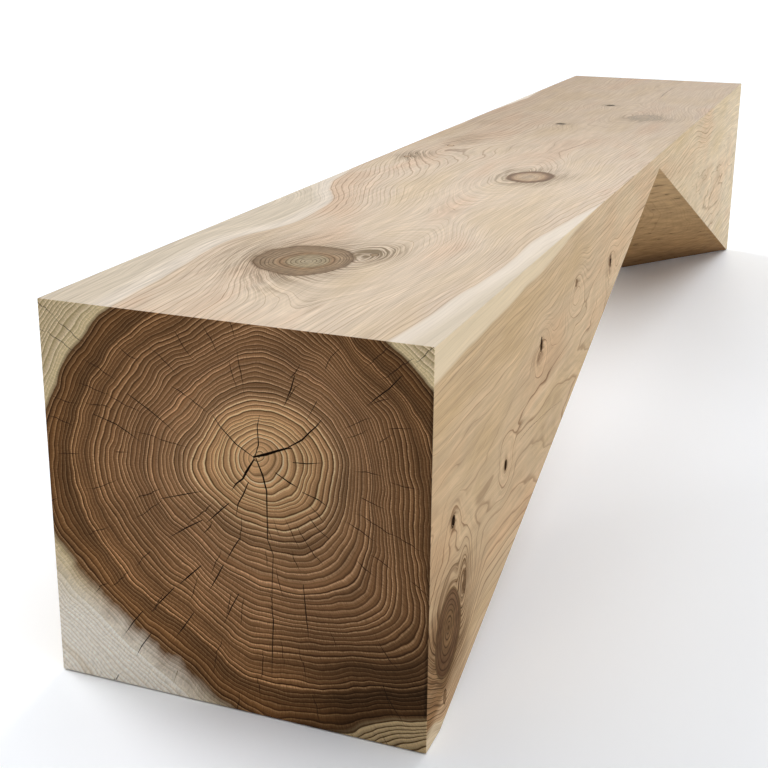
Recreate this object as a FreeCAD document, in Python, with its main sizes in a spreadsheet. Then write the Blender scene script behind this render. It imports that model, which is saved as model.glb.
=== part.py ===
import FreeCAD, Part
import math
import os

import Sketcher
from FreeCAD import Placement, Rotation, Vector

# A bench sawn from one squared trunk of cedar. Two V cuts, mirrored about the bench's
# long middle plane, hollow its underside. Each runs right through the block and drops
# as it goes in, so a side face shows a thin bridge of wood over a wide open V, while a
# keel stays down the middle, and each end stands on a pointed foot. Two felt glides are
# let into each foot. The pith lies inside the block, so both ends show every ring, and
# drying has opened a star of heart checks there. A few dead knots have dropped out of
# the front face.
#
# +X is the far end, -Y the front and +Z up, in millimetres. The origin is on the floor
# under the middle of the block.

# Driving sizes in millimetres.
SIZES = {
    # squared trunk
    "bench_length": 2400,
    "bench_width": 430,
    "block_height": 430,
    "arris": 1.2,
    # wood left above the V cuts at mid-length, at the side faces and on the middle plane
    "bridge_thickness": 26.5,
    "keel_thickness": 129,
    # flat end that each foot keeps along the side faces
    "near_foot_tip": 43,
    "far_foot_tip": 16,
    # pith, from the middle plane towards the front and from the top, and its checks
    "pith_off_middle": 30,
    "pith_below_top": 138,
    "check_reach": 166,
    "check_gap": 4.5,
    "check_depth": 28,
    # hole that a dead knot leaves in the front face
    "knot_hole_across": 11,
    "knot_hole_depth": 6,
    # how far a cutting shape runs past what it cuts
    "overrun": 5,
    # glide cup
    "cup_across": 32,
    "cup_height": 5,
    "cup_floor": 2,
    "cup_wall": 1.6,
    "glide_end_inset": 30,
    "glide_side_inset": 42,
    "seat_clearance": 0.3,
    # felt disc in the cup
    "felt_thickness": 4,
    "felt_clearance": 0.2,
    # countersunk wood screw, with a cross drive
    "screw_length": 25,
    "screw_across": 3.5,
    "screw_head_across": 6.6,
    "screw_point": 5,
    "screw_clearance": 0.15,
    "drive_reach": 1.7,
    "drive_width": 0.9,
    "drive_depth": 1.1,
}

doc = FreeCAD.newDocument("MonoblockBench")
sheet = doc.addObject("Spreadsheet::Sheet", "Sizes")
for row, (alias, value) in enumerate(SIZES.items(), start=1):
    sheet.set(f"A{row}", alias)
    sheet.set(f"B{row}", str(value))
    sheet.setAlias(f"B{row}", alias)
doc.recompute()

# Places and sizes that follow from the driving ones.
STAND = "(Sizes.felt_thickness + Sizes.cup_floor - Sizes.cup_height)"
SEAT_TOP = f"({STAND} + Sizes.cup_height)"
HALF_LENGTH = "(Sizes.bench_length / 2)"
HALF_WIDTH = "(Sizes.bench_width / 2)"
BRIDGE_RISE = "(Sizes.block_height - Sizes.bridge_thickness)"
KEEL_RISE = "(Sizes.block_height - Sizes.keel_thickness)"
NEAR_REACH = f"({HALF_LENGTH} - Sizes.near_foot_tip)"
FAR_REACH = f"({HALF_LENGTH} - Sizes.far_foot_tip)"
CUP_RADIUS = "(Sizes.cup_across / 2)"
SHANK_RADIUS = "(Sizes.screw_across / 2)"
HEAD_RADIUS = "(Sizes.screw_head_across / 2)"


def origin_plane(body, role):
    """The body's own origin plane with that role, such as XY_Plane."""
    return next(f for f in body.Origin.OriginFeatures if f.Role == role)


def new_sketch(body, name, role, offset="0"):
    """A sketch on one of the body's origin planes, moved along the plane's normal."""
    sketch = body.newObject("Sketcher::SketchObject", name)
    sketch.AttachmentSupport = [(origin_plane(body, role), "")]
    sketch.MapMode = "FlatFace"
    sketch.setExpression("AttachmentOffset.Base.z", offset)
    return sketch


def pin(sketch, curve, point, across, up):
    """Hold one point of a curve at a place worked out from the sizes."""
    for kind, axis, place in (("DistanceX", -2, across), ("DistanceY", -1, up)):
        if place == "0":
            sketch.addConstraint(Sketcher.Constraint("PointOnObject", curve, point, axis))
            continue
        index = sketch.addConstraint(Sketcher.Constraint(kind, -1, 1, curve, point, 1.0))
        sketch.setExpression(f"Constraints[{index}]", place)


def draw_outline(sketch, corners):
    """A closed outline of straight lines through corners given as expressions."""
    count = len(corners)
    turn = 2 * math.pi / count
    rough = [Vector(math.cos(i * turn), math.sin(i * turn), 0) for i in range(count)]
    for i in range(count):
        sketch.addGeometry(Part.LineSegment(rough[i], rough[(i + 1) % count]))
    for i, (across, up) in enumerate(corners):
        sketch.addConstraint(Sketcher.Constraint("Coincident", (i - 1) % count, 2, i, 1))
        pin(sketch, i, 1, across, up)


def draw_circle(sketch, across, up, radius):
    """A circle whose centre and radius are expressions."""
    curve = sketch.addGeometry(Part.Circle(Vector(), Vector(0, 0, 1), 1))
    pin(sketch, curve, 3, across, up)
    index = sketch.addConstraint(Sketcher.Constraint("Radius", curve, 1.0))
    sketch.setExpression(f"Constraints[{index}]", radius)


def pad(body, name, sketch, length):
    feature = body.newObject("PartDesign::Pad", name)
    feature.Profile = sketch
    feature.setExpression("Length", length)
    return feature


def pocket(body, name, sketch, depth, along_normal=True):
    """A pocket cut from its sketch along the plane's normal, or else against it."""
    feature = body.newObject("PartDesign::Pocket", name)
    feature.Profile = sketch
    feature.Reversed = along_normal
    feature.setExpression("Length", depth)
    return feature


def revolve(body, name, sketch):
    feature = body.newObject("PartDesign::Revolution", name)
    feature.Profile = sketch
    feature.ReferenceAxis = (sketch, ["V_Axis"])
    feature.Angle = 360
    return feature


# Glide places: name, then along and across the bench, as expressions of the sizes.
GLIDE_X = f"({HALF_LENGTH} - Sizes.glide_end_inset)"
GLIDE_Y = f"({HALF_WIDTH} - Sizes.glide_side_inset)"
GLIDES = {
    "near_front": (f"-{GLIDE_X}", f"-{GLIDE_Y}"),
    "near_back": (f"-{GLIDE_X}", GLIDE_Y),
    "far_front": (GLIDE_X, f"-{GLIDE_Y}"),
    "far_back": (GLIDE_X, GLIDE_Y),
}


def place_at_glide(body, glide):
    along, across = GLIDES[glide]
    body.setExpression("Placement.Base.x", along)
    body.setExpression("Placement.Base.y", across)


def v_section(sketch, beyond):
    """The V of one cut where it crosses a plane that lies beyond the front face by that
    much. Its height falls evenly across the block, from the bridge to the keel and on,
    and its feet draw in with it. It starts an overrun below the block."""
    rise = f"({BRIDGE_RISE} + ({BRIDGE_RISE} - {KEEL_RISE}) * ({beyond}) / {HALF_WIDTH})"
    share = f"(({rise} + Sizes.overrun) / {BRIDGE_RISE})"
    below = f"{STAND} - Sizes.overrun"
    draw_outline(sketch, [
        ("0", f"{STAND} + {rise}"),
        (f"-{NEAR_REACH} * {share}", below),
        (f"{FAR_REACH} * {share}", below),
    ])


# A heart check runs out from the pith in arms. Each arm has a bend and a tip, as shares of
# the check's reach towards the back and up, in order round the pith.
CHECK_ARM_SHARES = [
    ((0.13, 0.10), (0.28, 0.24)),
    ((-0.01, 0.13), (-0.03, 0.26)),
    ((-0.20, 0.09), (-0.40, 0.26)),
    ((-0.17, -0.06), (-0.44, -0.21)),
    ((-0.06, -0.22), (-0.09, -1.00)),
    ((0.14, -0.20), (0.33, -0.48)),
]


def check_outline(sketch, turned):
    """A star of cracks round the pith. Each arm is as wide as the gap where it leaves the
    pith, half as wide at its bend and sharp at its tip."""
    side = -1 if turned else 1
    arms = [[(side * y, z) for y, z in arm] for arm in CHECK_ARM_SHARES]
    angles = [math.atan2(bend[1], bend[0]) for bend, tip in arms]
    pith_y = "-Sizes.pith_off_middle"
    pith_z = f"{STAND} + Sizes.block_height - Sizes.pith_below_top"

    def place(share, gap_share):
        return tuple(
            f"{pith} + {share[i]:.4f} * Sizes.check_reach + {gap_share[i]:.4f} * Sizes.check_gap"
            for i, pith in enumerate((pith_y, pith_z))
        )

    corners = []
    for (bend, tip), angle, before in zip(arms, angles, angles[-1:] + angles[:-1]):
        turn = (angle - before + math.pi) % (2 * math.pi) - math.pi
        root = before + turn / 2
        across = (-math.sin(angle) * side / 4, math.cos(angle) * side / 4)
        corners.append(place((0, 0), (math.cos(root) / 2, math.sin(root) / 2)))
        corners.append(place(bend, (-across[0], -across[1])))
        corners.append(place(tip, (0, 0)))
        corners.append(place(bend, across))
    draw_outline(sketch, corners)


# Where the knots dropped out: shares of the bench's length from its middle, and of the
# block's height from its underside.
KNOT_HOLE_SHARES = [(-0.471, 0.526), (-0.331, 0.730), (-0.166, 0.772)]


def make_timber_block():
    body = doc.addObject("PartDesign::Body", "timber_block")
    plan = new_sketch(body, "block_plan", "XY_Plane", STAND)
    draw_outline(plan, [
        (f"-{HALF_LENGTH}", f"-{HALF_WIDTH}"),
        (HALF_LENGTH, f"-{HALF_WIDTH}"),
        (HALF_LENGTH, HALF_WIDTH),
        (f"-{HALF_LENGTH}", HALF_WIDTH),
    ])
    block = pad(body, "squared_trunk", plan, "Sizes.block_height")
    doc.recompute()

    eased = body.newObject("PartDesign::Chamfer", "eased_arrises")
    eased.Base = (block, [f"Edge{i + 1}" for i in range(len(block.Shape.Edges))])
    eased.setExpression("Size", "Sizes.arris")
    doc.recompute()

    # The cut's sections stand an overrun in front of the front face and behind the back.
    front = new_sketch(body, "v_front", "XZ_Plane", f"{HALF_WIDTH} + Sizes.overrun")
    v_section(front, "Sizes.overrun")
    back = new_sketch(body, "v_back", "XZ_Plane", f"-({HALF_WIDTH} + Sizes.overrun)")
    v_section(back, "-(Sizes.bench_width + Sizes.overrun)")
    cut = body.newObject("PartDesign::SubtractiveLoft", "skewed_v_cut")
    cut.Profile = front
    cut.Sections = [back]
    cut.Ruled = True
    doc.recompute()
    must_shrink(eased, cut)

    twin = body.newObject("PartDesign::Mirrored", "mirrored_v_cut")
    twin.Originals = [cut]
    twin.MirrorPlane = (origin_plane(body, "XZ_Plane"), [""])
    body.Tip = twin
    doc.recompute()
    must_shrink(cut, twin)

    # Round seats for the glide cups, and core holes for their screws.
    seats = new_sketch(body, "glide_seat_circles", "XY_Plane", STAND)
    cores = new_sketch(body, "screw_core_circles", "XY_Plane", STAND)
    for along, across in GLIDES.values():
        draw_circle(seats, along, across, f"{CUP_RADIUS} + Sizes.seat_clearance")
        draw_circle(cores, along, across, f"{SHANK_RADIUS} + Sizes.screw_clearance")
    seat_cut = pocket(body, "glide_seats", seats, "Sizes.cup_height")
    doc.recompute()
    must_shrink(twin, seat_cut)
    screw_depth = f"Sizes.felt_thickness + Sizes.screw_length - {STAND}"
    core_cut = pocket(body, "screw_cores", cores, f"{screw_depth} + Sizes.screw_clearance")
    doc.recompute()
    must_shrink(seat_cut, core_cut)

    # The checks in the two ends follow the same pith, but open towards opposite sides.
    last_cut = core_cut
    for end, sign, near in (("near", "-", True), ("far", "", False)):
        star = new_sketch(body, f"{end}_check_star", "YZ_Plane", f"{sign}{HALF_LENGTH}")
        check_outline(star, not near)
        check = pocket(body, f"{end}_heart_check", star, "Sizes.check_depth", near)
        doc.recompute()
        must_shrink(last_cut, check)
        last_cut = check

    # The plane's normal points out of the front face, so the holes go against it.
    rims = new_sketch(body, "knot_hole_rims", "XZ_Plane", HALF_WIDTH)
    for along, up in KNOT_HOLE_SHARES:
        x = f"{along} * Sizes.bench_length"
        z = f"{STAND} + {up} * Sizes.block_height"
        draw_circle(rims, x, z, "Sizes.knot_hole_across / 2")
    holes = pocket(body, "knot_holes", rims, "Sizes.knot_hole_depth", False)
    doc.recompute()
    must_shrink(last_cut, holes)
    return body


def make_cup(glide):
    """A moulded cup with a countersunk hole in its floor, open side down."""
    body = doc.addObject("PartDesign::Body", f"glide_cup_{glide}")
    hole = f"{SHANK_RADIUS} + Sizes.screw_clearance"
    sink = f"{HEAD_RADIUS} + Sizes.screw_clearance"
    sink_top = f"Sizes.felt_thickness + {HEAD_RADIUS} - {SHANK_RADIUS}"
    profile = new_sketch(body, f"cup_profile_{glide}", "XZ_Plane")
    draw_outline(profile, [
        (hole, SEAT_TOP),
        (hole, sink_top),
        (sink, "Sizes.felt_thickness"),
        (f"{CUP_RADIUS} - Sizes.cup_wall", "Sizes.felt_thickness"),
        (f"{CUP_RADIUS} - Sizes.cup_wall", STAND),
        (CUP_RADIUS, STAND),
        (CUP_RADIUS, SEAT_TOP),
    ])
    revolve(body, f"cup_{glide}", profile)
    place_at_glide(body, glide)
    return body


def make_felt(glide):
    """A felt disc glued in the cup over the screw's head. The bench stands on it."""
    body = doc.addObject("PartDesign::Body", f"glide_felt_{glide}")
    disc = new_sketch(body, f"felt_disc_{glide}", "XY_Plane")
    draw_circle(disc, "0", "0", f"{CUP_RADIUS} - Sizes.cup_wall - Sizes.felt_clearance")
    pad(body, f"felt_{glide}", disc, "Sizes.felt_thickness")
    place_at_glide(body, glide)
    return body


def make_screw(glide):
    """A countersunk screw that holds the cup, with its head flush in the cup's floor."""
    body = doc.addObject("PartDesign::Body", f"glide_screw_{glide}")
    face = "Sizes.felt_thickness"
    tip = f"{face} + Sizes.screw_length"
    profile = new_sketch(body, f"screw_profile_{glide}", "XZ_Plane")
    draw_outline(profile, [
        ("0", face),
        (HEAD_RADIUS, face),
        (SHANK_RADIUS, f"{face} + {HEAD_RADIUS} - {SHANK_RADIUS}"),
        (SHANK_RADIUS, f"{tip} - Sizes.screw_point"),
        ("0", tip),
    ])
    turned = revolve(body, f"screw_{glide}", profile)
    doc.recompute()

    # The cross drive, a quarter at a time: out along one arm, back along the next.
    reach = "Sizes.drive_reach"
    width = "(Sizes.drive_width / 2)"
    drive = new_sketch(body, f"drive_cross_{glide}", "XY_Plane", face)
    draw_outline(drive, [
        (reach, f"-{width}"), (reach, width), (width, width),
        (width, reach), (f"-{width}", reach), (f"-{width}", width),
        (f"-{reach}", width), (f"-{reach}", f"-{width}"), (f"-{width}", f"-{width}"),
        (f"-{width}", f"-{reach}"), (width, f"-{reach}"), (width, f"-{width}"),
    ])
    recess = pocket(body, f"drive_{glide}", drive, "Sizes.drive_depth")
    doc.recompute()
    must_shrink(turned, recess)
    place_at_glide(body, glide)
    return body


def must_shrink(before, after):
    """Stop if a cut took nothing away."""
    if after.Shape.Volume >= before.Shape.Volume:
        raise RuntimeError(f"{after.Name} cut nothing")


sub_parts = [make_timber_block()]
screws = []
for glide in GLIDES:
    sub_parts.append(make_cup(glide))
    sub_parts.append(make_felt(glide))
    screws.append(make_screw(glide))

# The four screws are alike, so they are one group.
screw_group = doc.addObject("Part::Compound", "glide_screws")
screw_group.Links = screws
sub_parts.append(screw_group)
doc.recompute()

for item in doc.Objects:
    if "Invalid" in item.State or "Error" in item.State:
        raise RuntimeError(f"{item.Label} failed: {item.State}")
for part in sub_parts:
    if part.Shape.isNull() or not part.Shape.isValid():
        raise RuntimeError(f"{part.Label} has no valid shape")

os.makedirs("parts", exist_ok=True)
for part in sub_parts:
    part.Shape.exportStep(f"parts/{part.Label}.step")
    print(part.Label, len(part.Shape.Solids), round(part.Shape.Volume))
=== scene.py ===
import math

import bpy
from mathutils import Matrix, Vector


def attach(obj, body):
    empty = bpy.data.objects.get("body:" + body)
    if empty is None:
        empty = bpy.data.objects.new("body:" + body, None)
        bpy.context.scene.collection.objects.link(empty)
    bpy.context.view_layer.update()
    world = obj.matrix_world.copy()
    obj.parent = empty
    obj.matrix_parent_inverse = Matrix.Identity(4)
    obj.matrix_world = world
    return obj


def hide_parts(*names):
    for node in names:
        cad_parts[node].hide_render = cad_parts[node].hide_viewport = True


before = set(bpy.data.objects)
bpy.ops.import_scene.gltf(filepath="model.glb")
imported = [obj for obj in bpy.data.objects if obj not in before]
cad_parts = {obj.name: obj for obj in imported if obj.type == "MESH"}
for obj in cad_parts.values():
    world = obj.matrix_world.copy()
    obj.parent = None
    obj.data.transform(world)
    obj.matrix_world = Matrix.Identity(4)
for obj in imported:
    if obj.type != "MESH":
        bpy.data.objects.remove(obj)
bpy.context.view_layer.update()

MM = 0.001

# The block, in metres. It stands one millimetre clear of the floor on its felts.
LENGTH, WIDTH, HEIGHT, STAND = 2.400, 0.430, 0.430, 0.001
TOP = STAND + HEIGHT

# How high the two skewed cuts rise in the long faces and at the keel between them, and
# how far from mid-length they run out in the feet.
BRIDGE_RISE, KEEL_RISE = 0.4035, 0.301
NEAR_REACH, FAR_REACH = 1.157, 1.184

# How far the sawn edges are eased.
ARRIS = 1.1 * MM

# The pith in millimetres: how far off the middle plane, how far above the floor, and how
# far it sways along the bench.
PITH_Y, PITH_Z, PITH_SWAY = -30, 293, 12

# One year's growth in millimetres, and the growth where the heartwood ends and where
# the sapwood has begun.
RING = 5.0
HEART_END, SAP_START = 247, 252

# How the trunk wanders, in millimetres: how long and how wide each kind of bend is, and
# how far it strays.
BENDS = [(420, 105, 27), (150, 34, 8), (60, 14, 2.4)]

# The share of a knot's width that stands for no knot at all.
NO_KNOT = 9.0

# Most of a noise lies between these values.
NOISE_LOW, NOISE_HIGH = 0.3, 0.7

# How a crack's gap changes along it: the share of its widest that it starts with, the
# factors at its first bend, at each later bend and at its tip, and at its bottom.
GAP_START, GAP_SWELL, GAP_TAPER, GAP_TIP, GAP_BOTTOM = 0.6, 1.6, 0.8, 0.15, 0.2

# How deep the cracks go in the ends and in the long faces, and the gap in millimetres
# from which a check is in the far end too.
HEART_DEPTH, CRACK_DEPTH, FAR_GAP = 30 * MM, 6 * MM, 1.9

# Tool shapes start this far outside the wood, so that they cut clean.
PROUD = 2 * MM

# The block's finishes, in the order of its materials.
LONG_GRAIN, END_GRAIN, SAWN, TORN = range(4)


def linear(hex_colour):
    """An sRGB hex colour as linear RGBA."""
    values = [int(hex_colour[i:i + 2], 16) / 255 for i in (1, 3, 5)]
    return [v / 12.92 if v <= 0.04045 else ((v + 0.055) / 1.055) ** 2.4 for v in values] + [1]


def add(tree, kind, links=None, **settings):
    """Add a node. links gives each input a socket, a node (its first output) or a value."""
    node = tree.nodes.new(kind)
    for name, value in settings.items():
        setattr(node, name, value)
    for socket, source in (links or {}).items():
        if isinstance(source, bpy.types.Node):
            tree.links.new(source.outputs[0], node.inputs[socket])
        elif isinstance(source, bpy.types.NodeSocket):
            tree.links.new(source, node.inputs[socket])
        else:
            node.inputs[socket].default_value = source
    return node


def maths(tree, operation, *values):
    """One operation on numbers."""
    return add(tree, "ShaderNodeMath", dict(enumerate(values)), operation=operation)


def product(tree, *factors):
    """Numbers multiplied together."""
    result = factors[0]
    for factor in factors[1:]:
        result = maths(tree, "MULTIPLY", result, factor)
    return result


def vector_maths(tree, operation, *values):
    """One operation on places or colours."""
    return add(tree, "ShaderNodeVectorMath", dict(enumerate(values)), operation=operation)


def measured(tree, operation, *vectors):
    """A number taken from places: a length, a distance or a dot product."""
    return vector_maths(tree, operation, *vectors).outputs["Value"]


def times(tree, vector, factors):
    """A place or a colour with each of its parts multiplied."""
    return vector_maths(tree, "MULTIPLY", vector, factors)


def scaled(tree, vector, factor):
    """A place or a colour times one number."""
    return add(tree, "ShaderNodeVectorMath", {0: vector, 3: factor}, operation="SCALE")


def remap(tree, value, start, end, at_start, at_end, kind="LINEAR"):
    """A value carried over from one range to another, and held at both ends."""
    ranges = {0: value, 1: start, 2: end, 3: at_start, 4: at_end}
    return add(tree, "ShaderNodeMapRange", ranges, interpolation_type=kind)


def eased(tree, *ranges):
    """The same with a soft start and a soft end."""
    return remap(tree, *ranges, kind="SMOOTHSTEP")


def varied(tree, noise_value, least, most):
    """A noise carried over to a range of strengths."""
    return remap(tree, noise_value, NOISE_LOW, NOISE_HIGH, least, most)


def between(tree, share, first, second):
    """A number part of the way from one to another."""
    return add(tree, "ShaderNodeMix", {0: share, 2: first, 3: second})


def between_tints(tree, share, first, second):
    """Three factors part of the way from one set to another."""
    ends = {0: share, 4: first, 5: second}
    return add(tree, "ShaderNodeMix", ends, data_type="VECTOR").outputs[1]


def blend(tree, share, first, second, **settings):
    """A colour part of the way from one to another."""
    ends = {0: share, 6: first, 7: second}
    return add(tree, "ShaderNodeMix", ends, data_type="RGBA", **settings).outputs[2]


def noise(tree, where, detail, scale=1, roughness=0.5, dimensions="3D"):
    """Noise over a place, or over one value if it has one dimension."""
    source = "W" if dimensions == "1D" else "Vector"
    links = {source: where, "Scale": scale, "Detail": detail, "Roughness": roughness}
    return add(tree, "ShaderNodeTexNoise", links, noise_dimensions=dimensions)


def ramp(tree, value, stops):
    """A colour ramp, with its stops given as places and hex colours."""
    node = add(tree, "ShaderNodeValToRGB", {0: value})
    elements = node.color_ramp.elements
    while len(elements) < len(stops):
        elements.new(1)
    for element, (place, colour) in zip(elements, stops):
        element.position = place
        element.color = linear(colour)
    return node


def own_place(tree):
    """Each place in the object's own metres."""
    return add(tree, "ShaderNodeTexCoord").outputs["Object"]


def parts(tree, place):
    """The X, Y and Z of a place."""
    return add(tree, "ShaderNodeSeparateXYZ", {0: place}).outputs


def unrolled(tree, first, first_rate, second, second_rate):
    """A place on a flat pattern, from two values and how fast it runs along each."""
    return add(tree, "ShaderNodeCombineXYZ", {
        0: product(tree, first, first_rate),
        1: product(tree, second, second_rate)})


def away_from(tree, place, middle, sizes):
    """How far a place is from a middle, in half sizes. Both are given in millimetres."""
    shrink = Vector([1 / MM / size for size in sizes])
    apart = vector_maths(tree, "MULTIPLY_ADD", place, shrink, -Vector(middle) * MM * shrink)
    return measured(tree, "LENGTH", apart)


def give_surface(tree, colour, roughness, relief, others):
    """The shader: its colour, roughness, relief (a height, a strength and a depth in
    metres, or None) and its other inputs."""
    links = {"Base Color": colour, "Roughness": roughness, **others}
    if relief:
        height, strength, depth = relief
        links["Normal"] = add(
            tree, "ShaderNodeBump", {"Height": height, "Strength": strength, "Distance": depth})
    shader = add(tree, "ShaderNodeBsdfPrincipled", links)
    add(tree, "ShaderNodeOutputMaterial", {0: shader})


def new_material(name):
    """A material with an empty node tree."""
    material = bpy.data.materials.new(name)
    material.use_nodes = True
    material.node_tree.nodes.clear()
    return material


# Branches whose knots show. Where each comes out of the block in millimetres, its half
# width there, its width as a share of its length, how far it leans along the bench, and
# how deep and wide the collar is that the rings made round it.
KNOTS = [
    ("great knot", (-948, 24, 431), 50, 0.74, 30, 34, 150),
    ("great tail", (-890, -34, 431), 5, 0.8, 40, 50, 215),
    ("second knot", (-321, -66, 431), 33, 0.66, 25, 40, 190),
    ("flat knot", (436, -106, 431), 31, 0.72, 20, 34, 180),
    ("pin knot", (280, 29, 431), 10, 0.8, 5, 12, 80),
    ("far pin knot", (611, -1, 431), 12, 0.8, 5, 14, 90),
    ("swirl knot", (-72, 143, 431), 4, 0.5, 30, 34, 120),
    ("swirl twin", (-215, 172, 431), 3.5, 0.4, 20, 26, 100),
    ("corner knot", (-1137, -215, 111), 34, 0.84, 0, 40, 120),
    ("corner tail", (-1085, -215, 140), 12, 2.2, 0, 14, 70),
    ("corner spur", (-1143, -215, 34), 5, 1.0, 0, 8, 40),
    ("slit knot", (-795, -215, 315), 7, 0.9, 10, 12, 60),
    ("low knot", (-939, -215, 214), 6, 1.0, 5, 9, 55),
    ("far slit knot", (-396, -215, 328), 7, 0.9, 10, 11, 60),
    ("dead knot", (-1131, -215, 227), 7, 1.0, 5, 8, 50),
    ("shadow knot", (-618, -215, 350), 5, 0.9, 10, 16, 80),
    ("back knot", (-420, 215, 330), 20, 0.8, 20, 26, 130),
    ("far back knot", (660, 215, 300), 14, 0.8, 10, 18, 100),
    ("dent without a knot", (-690, 150, 431), 0.1, 0.65, 0, -42, 170),
]

# Where resin or bark has browned the grain: places in millimetres, how far the smudge
# goes along the bench and across it, and how strong it is.
SMUDGES = [
    ((-893, -31, 431), 90, 52, 1.9),
    ((10, 141, 431), 120, 50, 1.1),
    ((-200, 169, 431), 80, 42, 1.4),
    ((240, 175, 431), 60, 40, 0.5),
    ((-290, -28, 431), 60, 30, 1.1),
    ((-1078, 20, 431), 20, 48, 0.55),
    ((-1118, -52, 431), 50, 20, 0.6),
    ((440, -106, 431), 90, 60, 0.6),
    ((-812, -215, 304), 45, 17, 1.0),
    ((-400, -215, 314), 26, 14, 0.8),
    ((-614, -215, 345), 26, 22, 0.7),
    ((-1096, -215, 150), 60, 40, 1.6),
    ((-1120, -215, 240), 26, 16, 0.4),
    ((-939, -215, 212), 20, 14, 0.9),
    ((-1150, -215, 84), 50, 26, 1.0),
]

# The trunk is lobed, near its pith towards the front and further out towards the floor:
# how many lobes go round, the angle of the first one in radians, and how deep they are.
INNER_LOBES = [(1, -0.38, 0.14), (2, 0.47, 0.12)]
OUTER_LOBES = [
    (1, -1.58, 0.178), (2, -1.28, 0.055), (3, -0.81, 0.055), (4, 0.12, 0.033),
    (5, 0.19, 0.019), (6, 0.38, 0.021)]

# The rings show most behind the great knot's tail: the middle of that place, and its
# half sizes along, across and down, in millimetres.
TAIL_RINGS = (-850, -30, 431), (150, 110, 60)


def grow_trunk():
    """The growth of the trunk in millimetres from its pith, everywhere in the block, as a
    group with the growth, the plain distance and angle, and the knots."""
    tree = bpy.data.node_groups.new("cedar growth", "ShaderNodeTree")
    for name in ("Growth", "Radius", "Angle", "Knot"):
        tree.interface.new_socket(name=name, in_out="OUTPUT", socket_type="NodeSocketFloat")
    place = own_place(tree)
    point = times(tree, place, [1 / MM] * 3)

    # The trunk is never straight: slow bends and small kinks, drawn out along its length.
    shift = point
    for long, wide, strays in BENDS:
        drawn = times(tree, point, (1 / long, 1 / wide, 1 / wide))
        bends = noise(tree, drawn, 1)
        offset = vector_maths(tree, "SUBTRACT", bends.outputs["Color"], (0.5, 0.5, 0.5))
        shift = vector_maths(tree, "MULTIPLY_ADD", offset, (0, strays, strays), shift)

    axes = parts(tree, shift)
    along = maths(tree, "ADD", axes["X"], LENGTH / 2 / MM)
    wave = maths(tree, "SINE", product(tree, along, math.tau * MM / LENGTH))
    pith_y = maths(tree, "MULTIPLY_ADD", wave, PITH_SWAY, PITH_Y)
    dy = maths(tree, "SUBTRACT", pith_y, axes["Y"])
    dz = maths(tree, "SUBTRACT", axes["Z"], PITH_Z)
    spoke = add(tree, "ShaderNodeCombineXYZ", {0: dy, 1: dz})
    radius = measured(tree, "LENGTH", spoke)
    angle = maths(tree, "ARCTAN2", dz, dy)

    shapes = []
    for lobes_list in (INNER_LOBES, OUTER_LOBES):
        shape = 1.0
        for lobes, turn, depth in lobes_list:
            turned = maths(tree, "MULTIPLY_ADD", angle, lobes, -turn * lobes)
            lobe = maths(tree, "COSINE", turned)
            shape = maths(tree, "MULTIPLY_ADD", lobe, depth, shape)
        shapes.append(shape)
    outer = eased(tree, radius, 40, 190, 0, 1)
    shape = between(tree, outer, shapes[0], shapes[1])
    # It swells by nearly a third towards its butt, which is the far end.
    swell = eased(tree, along, -500, 1500, 0.94, 1.30)
    shape = product(tree, shape, swell)
    growth = maths(tree, "DIVIDE", radius, shape)

    ragged = noise(tree, point, 1, scale=1 / 45)
    ragged = varied(tree, ragged, 0.95, 1.05)
    knot = NO_KNOT
    branches = []
    for name, (x, y, z), half, squeeze, lean, depth, spread in KNOTS:
        stretch = Vector((squeeze, 1, 1))
        mouth = Vector((x, y, z)) * stretch
        root = Vector((x - lean, PITH_Y, PITH_Z)) * stretch
        way = (mouth - root).normalized()
        reach = (mouth - root).length
        drawn = vector_maths(tree, "MULTIPLY_ADD", point, stretch, -root)
        drawn.label = name
        out = measured(tree, "DOT_PRODUCT", drawn, way)
        core = scaled(tree, way, out)
        aside = measured(tree, "DISTANCE", drawn, core)
        collar = remap(tree, aside, 0, spread, depth, 0, kind="SMOOTHERSTEP")
        grown = remap(tree, out, 0, reach, 0, 1)
        growth = maths(tree, "SUBTRACT", growth, product(tree, collar, grown))
        ahead = maths(tree, "MAXIMUM", out, 1)
        wide = product(tree, ahead, half / reach)
        share = product(tree, maths(tree, "DIVIDE", aside, wide), ragged)
        behind = maths(tree, "LESS_THAN", out, 1)
        share = maths(tree, "MULTIPLY_ADD", behind, NO_KNOT, share)
        branches.append((share, half))
        knot = maths(tree, "MINIMUM", share, knot)
    # Inside a knot the rings are the branch's own.
    for share, half in branches:
        inside = maths(tree, "LESS_THAN", share, 1.0)
        years = product(tree, share, half * 1.1)
        growth = between(tree, inside, growth, years)

    add(tree, "NodeGroupOutput", {
        "Growth": growth, "Radius": radius, "Angle": angle, "Knot": knot})
    return tree


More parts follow.
